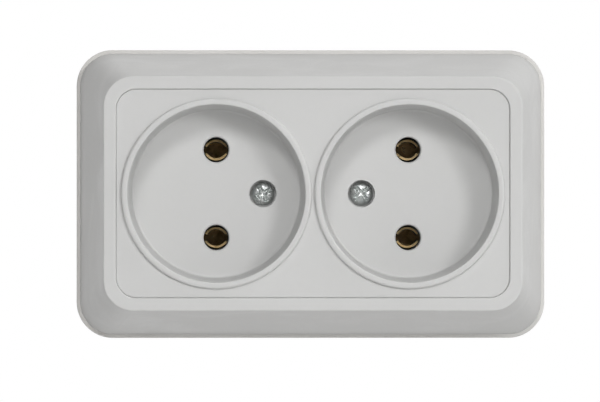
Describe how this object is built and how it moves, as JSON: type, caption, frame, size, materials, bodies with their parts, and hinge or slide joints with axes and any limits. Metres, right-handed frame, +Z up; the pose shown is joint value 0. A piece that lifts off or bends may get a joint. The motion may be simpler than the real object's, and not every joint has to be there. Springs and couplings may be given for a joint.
{
  "type": "surface-mounted double socket",
  "caption": "Surface-mounted double socket: sloped housing, front panel with twin round recesses for two-pin plugs, back plate with contact bars and screw terminals.",
  "frame": {"origin": "centre of the back face, on the wall plane", "axes": "+X to the right seen from the front, +Y into the wall, +Z up; the socket faces -Y"},
  "size_m": [0.1026, 0.035, 0.0632],
  "materials": {
    "housing_plastic": "moulded, smooth, pale grey-white",
    "base_plastic": "moulded, smooth, warm white",
    "washer_plastic": "natural nylon",
    "contact_brass": "rolled strip, slightly dull",
    "spring_steel": "blued spring steel",
    "plated_steel": "bright zinc plate"
  },
  "bodies": {
    "base_unit": {"base": "base_plastic", "upper_contact_bar": "contact_brass", "lower_contact_bar": "contact_brass", "contact_spring_upper_left": "spring_steel", "contact_spring_upper_right": "spring_steel", "contact_spring_lower_left": "spring_steel", "contact_spring_lower_right": "spring_steel", "threaded_insert_left": "contact_brass", "threaded_insert_right": "contact_brass"},
    "surround_body": {"surround": "housing_plastic"},
    "panel_body": {"front_panel": "housing_plastic"},
    "washer_body_left": {"retaining_washer_left": "washer_plastic"},
    "cover_screw_body_left": {"cover_screw_left": "plated_steel"},
    "washer_body_right": {"retaining_washer_right": "washer_plastic"},
    "cover_screw_body_right": {"cover_screw_right": "plated_steel"},
    "saddle_body_upper_left": {"clamp_saddle_upper_left": "plated_steel"},
    "terminal_screw_body_upper_left": {"terminal_screw_upper_left": "plated_steel"},
    "saddle_body_upper_right": {"clamp_saddle_upper_right": "plated_steel"},
    "terminal_screw_body_upper_right": {"terminal_screw_upper_right": "plated_steel"},
    "saddle_body_lower_left": {"clamp_saddle_lower_left": "plated_steel"},
    "terminal_screw_body_lower_left": {"terminal_screw_lower_left": "plated_steel"},
    "saddle_body_lower_right": {"clamp_saddle_lower_right": "plated_steel"},
    "terminal_screw_body_lower_right": {"terminal_screw_lower_right": "plated_steel"}
  },
  "joints": [
    {"name": "surround_lift", "type": "slide", "parent": "base_unit", "child": "surround_body", "axis": [0, -1, 0], "range_m": [0, 0.04]},
    {"name": "panel_lift", "type": "slide", "parent": "surround_body", "child": "panel_body", "axis": [0, -1, 0], "range_m": [0, 0.035]},
    {"name": "cover_screw_rise_left", "type": "slide", "parent": "panel_body", "child": "washer_body_left", "axis": [0, -1, 0], "range_m": [0, 0.0025]},
    {"name": "cover_screw_turn_left", "type": "hinge", "parent": "washer_body_left", "child": "cover_screw_body_left", "pos_m": [-0.01065, -0.0196, 0], "axis": [0, -1, 0], "range_deg": [0, 1800]},
    {"name": "cover_screw_rise_right", "type": "slide", "parent": "panel_body", "child": "washer_body_right", "axis": [0, -1, 0], "range_m": [0, 0.0025]},
    {"name": "cover_screw_turn_right", "type": "hinge", "parent": "washer_body_right", "child": "cover_screw_body_right", "pos_m": [0.01065, -0.0196, 0], "axis": [0, -1, 0], "range_deg": [0, 1800]},
    {"name": "saddle_rise_upper_left", "type": "slide", "parent": "base_unit", "child": "saddle_body_upper_left", "axis": [0, -1, 0], "range_m": [0, 0.0024]},
    {"name": "terminal_screw_turn_upper_left", "type": "hinge", "parent": "saddle_body_upper_left", "child": "terminal_screw_body_upper_left", "pos_m": [-0.0049, -0.00945, 0.0095], "axis": [0, -1, 0], "range_deg": [0, 1440]},
    {"name": "saddle_rise_upper_right", "type": "slide", "parent": "base_unit", "child": "saddle_body_upper_right", "axis": [0, -1, 0], "range_m": [0, 0.0024]},
    {"name": "terminal_screw_turn_upper_right", "type": "hinge", "parent": "saddle_body_upper_right", "child": "terminal_screw_body_upper_right", "pos_m": [0.0049, -0.00945, 0.0095], "axis": [0, -1, 0], "range_deg": [0, 1440]},
    {"name": "saddle_rise_lower_left", "type": "slide", "parent": "base_unit", "child": "saddle_body_lower_left", "axis": [0, -1, 0], "range_m": [0, 0.0024]},
    {"name": "terminal_screw_turn_lower_left", "type": "hinge", "parent": "saddle_body_lower_left", "child": "terminal_screw_body_lower_left", "pos_m": [-0.0049, -0.00945, -0.0095], "axis": [0, -1, 0], "range_deg": [0, 1440]},
    {"name": "saddle_rise_lower_right", "type": "slide", "parent": "base_unit", "child": "saddle_body_lower_right", "axis": [0, -1, 0], "range_m": [0, 0.0024]},
    {"name": "terminal_screw_turn_lower_right", "type": "hinge", "parent": "saddle_body_lower_right", "child": "terminal_screw_body_lower_right", "pos_m": [0.0049, -0.00945, -0.0095], "axis": [0, -1, 0], "range_deg": [0, 1440]}
  ],
  "couplings": [
    {"joint": "cover_screw_turn_left", "follows": "cover_screw_rise_left", "rad_per_m": 12566},
    {"joint": "cover_screw_turn_right", "follows": "cover_screw_rise_right", "rad_per_m": 12566},
    {"joint": "terminal_screw_turn_upper_left", "follows": "saddle_rise_upper_left", "rad_per_m": 10472},
    {"joint": "terminal_screw_turn_upper_right", "follows": "saddle_rise_upper_right", "rad_per_m": 10472},
    {"joint": "terminal_screw_turn_lower_left", "follows": "saddle_rise_lower_left", "rad_per_m": 10472},
    {"joint": "terminal_screw_turn_lower_right", "follows": "saddle_rise_lower_right", "rad_per_m": 10472}
  ]
}
